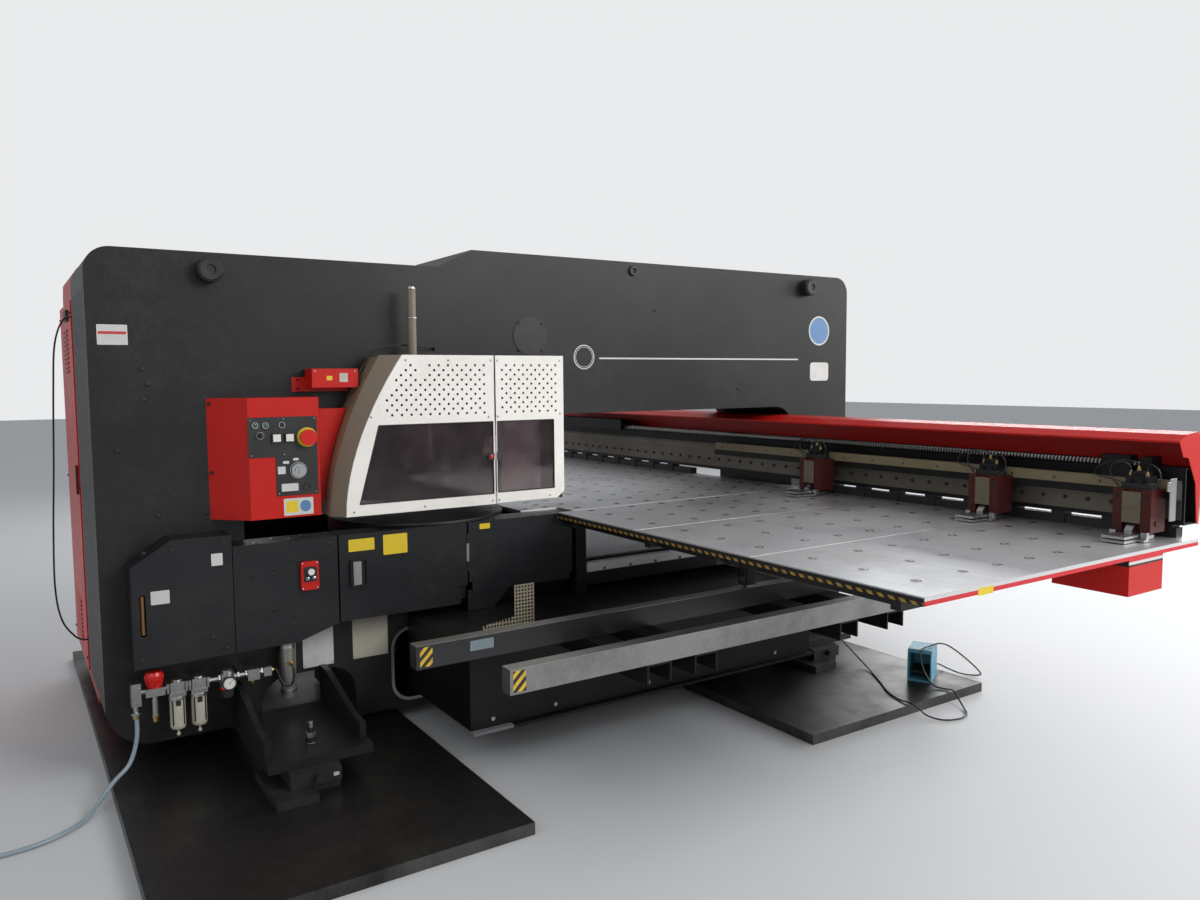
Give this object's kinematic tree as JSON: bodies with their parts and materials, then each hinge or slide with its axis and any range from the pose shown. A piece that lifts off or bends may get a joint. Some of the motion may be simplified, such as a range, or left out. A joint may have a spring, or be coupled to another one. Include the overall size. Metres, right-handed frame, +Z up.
{
  "type": "cnc turret punch press",
  "caption": "Bridge-frame turret punch press with hooded turret, moving sheet table, cross beam with workholders, operator box, control cabinet, air unit and foot switch.",
  "frame": {"origin": "centre of the standing surface under the machine", "axes": "+X along the carriage towards the operator box side, +Y along the bridge frame from the operator end to the beam end, +Z up"},
  "size_m": [5.25, 4.845, 2.198],
  "materials": {
    "frame_paint": "satin",
    "cover_paint": "textured",
    "red_paint": "satin",
    "khaki_paint": "satin",
    "hood_paint": "satin",
    "hood_grey": "satin",
    "window": "tinted",
    "panel_black": "matte",
    "steel": "machined",
    "rail_steel": "ground",
    "table_steel": "worn",
    "black_paint": "satin",
    "floor_plate": "worn",
    "button_red": "gloss",
    "button_white": "gloss",
    "chrome": "bright",
    "cast": "machined",
    "clamp_paint": "satin",
    "air_metal": "cast",
    "switch_blue": "worn",
    "rubber": "matte",
    "hose": "satin"
  },
  "bodies": {
    "machine": {"frame_plates": "frame_paint", "frame_webs": "frame_paint", "frame_fittings": "khaki_paint", "cabinet": "red_paint", "hood_side": "hood_grey", "guide_post": "khaki_paint", "operator_boxes": "red_paint", "control_panel": "panel_black", "lower_covers": "cover_paint", "centre_table": "table_steel", "outriggers": "black_paint", "support_rails": "rail_steel", "y_guides": "rail_steel", "foot_brackets": "cover_paint", "level_mounts": "cast", "floor_plates": "floor_plate", "press_head": "steel", "air_manifold": "air_metal", "air_vessels": "air_metal", "foot_switch": "switch_blue", "air_hose": "hose", "hose_coil": "hose", "hose_coupling": "chrome", "switch_cord": "rubber", "cabinet_cable": "rubber"},
    "cabinet_door": {"cabinet_door": "red_paint"},
    "cabinet_handle": {"cabinet_handle": "panel_black"},
    "hood_cover": {"hood_cover": "hood_paint", "hood_window": "window"},
    "hood_door": {"hood_door": "hood_paint", "hood_door_window": "window"},
    "access_door": {"access_door": "cover_paint"},
    "door_latch": {"door_latch": "steel"},
    "stop_button": {"stop_button": "button_red"},
    "push_button_a": {"push_button_a": "button_white"},
    "push_button_b": {"push_button_b": "button_white"},
    "mode_selector": {"mode_selector": "chrome"},
    "key_switch": {"key_switch": "panel_black"},
    "station_button": {"station_button": "button_white"},
    "upper_turret": {"upper_turret": "cast"},
    "lower_turret": {"lower_turret": "cast"},
    "striker": {"striker": "steel"},
    "table": {"cross_beam": "black_paint", "beam_cover": "red_paint", "table_panels": "table_steel", "table_frames": "black_paint", "x_guides": "rail_steel"},
    "x_screw": {"x_screw": "rail_steel"},
    "carriage": {"carriage_bar": "steel"},
    "clamp_a": {"clamp_a": "clamp_paint"},
    "clamp_b": {"clamp_b": "clamp_paint"},
    "clamp_c": {"clamp_c": "clamp_paint"},
    "jaw_a": {"jaw_a": "steel"},
    "jaw_b": {"jaw_b": "steel"},
    "jaw_c": {"jaw_c": "steel"},
    "roller_right": {"roller_right": "steel"},
    "roller_left": {"roller_left": "steel"},
    "valve_knob": {"valve_knob": "button_red"},
    "regulator_knob": {"regulator_knob": "panel_black"},
    "pedal": {"pedal": "rubber"}
  },
  "joints": [
    {"name": "cabinet_door_swing", "type": "hinge", "parent": "machine", "child": "cabinet_door", "pos_m": [-1.347, -2.084, 1.09], "axis": [0, 0, -1], "range_deg": [0, 110]},
    {"name": "cabinet_handle_turn", "type": "hinge", "parent": "cabinet_door", "child": "cabinet_handle", "pos_m": [-0.64, -2.09, 1.176], "axis": [0, 1, 0], "range_deg": [0, 90]},
    {"name": "hood_lift", "type": "slide", "parent": "machine", "child": "hood_cover", "axis": [0, 0, 1], "range_m": [0, 0.28]},
    {"name": "hood_door_swing", "type": "hinge", "parent": "machine", "child": "hood_door", "pos_m": [0.542, -0.127, 1.35], "axis": [0, 0, 1], "range_deg": [0, 90]},
    {"name": "access_door_swing", "type": "hinge", "parent": "machine", "child": "access_door", "pos_m": [0.468, -0.6, 0.78], "axis": [0, 0, -1], "range_deg": [-100, 0]},
    {"name": "door_latch_pull", "type": "hinge", "parent": "access_door", "child": "door_latch", "pos_m": [0.478, -1.143, 0.751], "axis": [0, 0, -1], "range_deg": [0, 50]},
    {"name": "stop_button_press", "type": "slide", "parent": "machine", "child": "stop_button", "axis": [-1, 0, 0], "range_m": [0, 0.006], "stiffness_N_per_m": 600},
    {"name": "push_button_a_press", "type": "slide", "parent": "machine", "child": "push_button_a", "axis": [-1, 0, 0], "range_m": [0, 0.003], "stiffness_N_per_m": 400},
    {"name": "push_button_b_press", "type": "slide", "parent": "machine", "child": "push_button_b", "axis": [-1, 0, 0], "range_m": [0, 0.003], "stiffness_N_per_m": 400},
    {"name": "mode_selector_turn", "type": "hinge", "parent": "machine", "child": "mode_selector", "pos_m": [0.48, -1.367, 1.216], "axis": [1, 0, 0], "range_deg": [-45, 45]},
    {"name": "key_switch_turn", "type": "hinge", "parent": "machine", "child": "key_switch", "pos_m": [0.48, -1.515, 1.365], "axis": [1, 0, 0], "range_deg": [0, 90]},
    {"name": "station_button_press", "type": "slide", "parent": "machine", "child": "station_button", "axis": [-1, 0, 0], "range_m": [0, 0.003], "stiffness_N_per_m": 400},
    {"name": "upper_turret_turn", "type": "hinge", "parent": "machine", "child": "upper_turret", "pos_m": [0, -0.66, 1.1], "axis": [0, 0, 1], "continuous": true},
    {"name": "lower_turret_turn", "type": "hinge", "parent": "machine", "child": "lower_turret", "pos_m": [0, -0.66, 0.885], "axis": [0, 0, 1], "continuous": true},
    {"name": "striker_stroke", "type": "slide", "parent": "machine", "child": "striker", "axis": [0, 0, -1], "range_m": [0, 0.03]},
    {"name": "table_travel", "type": "slide", "parent": "machine", "child": "table", "axis": [0, -1, 0], "range_m": [0, 1.27]},
    {"name": "x_screw_turn", "type": "hinge", "parent": "table", "child": "x_screw", "pos_m": [0, 1.478, 1.225], "axis": [1, 0, 0], "continuous": true},
    {"name": "carriage_travel", "type": "slide", "parent": "table", "child": "carriage", "axis": [-1, 0, 0], "range_m": [0, 2.5]},
    {"name": "clamp_a_shift", "type": "slide", "parent": "carriage", "child": "clamp_a", "axis": [1, 0, 0], "range_m": [-0.5, 0.5]},
    {"name": "clamp_b_shift", "type": "slide", "parent": "carriage", "child": "clamp_b", "axis": [1, 0, 0], "range_m": [-0.35, 0.3]},
    {"name": "clamp_c_shift", "type": "slide", "parent": "carriage", "child": "clamp_c", "axis": [1, 0, 0], "range_m": [-0.18, 0.03]},
    {"name": "jaw_a_open", "type": "hinge", "parent": "clamp_a", "child": "jaw_a", "pos_m": [0.758, 1.385, 1], "axis": [-1, 0, 0], "range_deg": [-1, 6]},
    {"name": "jaw_b_open", "type": "hinge", "parent": "clamp_b", "child": "jaw_b", "pos_m": [1.828, 1.385, 1], "axis": [-1, 0, 0], "range_deg": [-1, 6]},
    {"name": "jaw_c_open", "type": "hinge", "parent": "clamp_c", "child": "jaw_c", "pos_m": [2.486, 1.385, 1], "axis": [-1, 0, 0], "range_deg": [-1, 6]},
    {"name": "roller_right_turn", "type": "hinge", "parent": "table", "child": "roller_right", "pos_m": [1.15, 0.52, 0.6303], "axis": [1, 0, 0], "continuous": true},
    {"name": "roller_left_turn", "type": "hinge", "parent": "table", "child": "roller_left", "pos_m": [-1.15, 0.52, 0.6303], "axis": [1, 0, 0], "continuous": true},
    {"name": "valve_knob_turn", "type": "hinge", "parent": "machine", "child": "valve_knob", "pos_m": [0.43, -1.94, 0.42], "axis": [0, 0, 1], "range_deg": [0, 90]},
    {"name": "regulator_knob_turn", "type": "hinge", "parent": "machine", "child": "regulator_knob", "pos_m": [0.43, -1.67, 0.32], "axis": [0, 0, 1], "range_deg": [-180, 180]},
    {"name": "pedal_press", "type": "hinge", "parent": "machine", "child": "pedal", "pos_m": [1.37929, 1.54459, 0.09], "axis": [0.8829, 0.4695, 0], "range_deg": [0, 8], "stiffness_Nm_per_rad": 6}
  ],
  "couplings": [
    {"joint": "lower_turret_turn", "follows": "upper_turret_turn", "ratio": 1},
    {"joint": "jaw_b_open", "follows": "jaw_a_open", "ratio": 1},
    {"joint": "jaw_c_open", "follows": "jaw_a_open", "ratio": 1},
    {"joint": "x_screw_turn", "follows": "carriage_travel", "rad_per_m": 157.08},
    {"joint": "roller_right_turn", "follows": "table_travel", "rad_per_m": 33.333},
    {"joint": "roller_left_turn", "follows": "table_travel", "rad_per_m": 33.333}
  ]
}
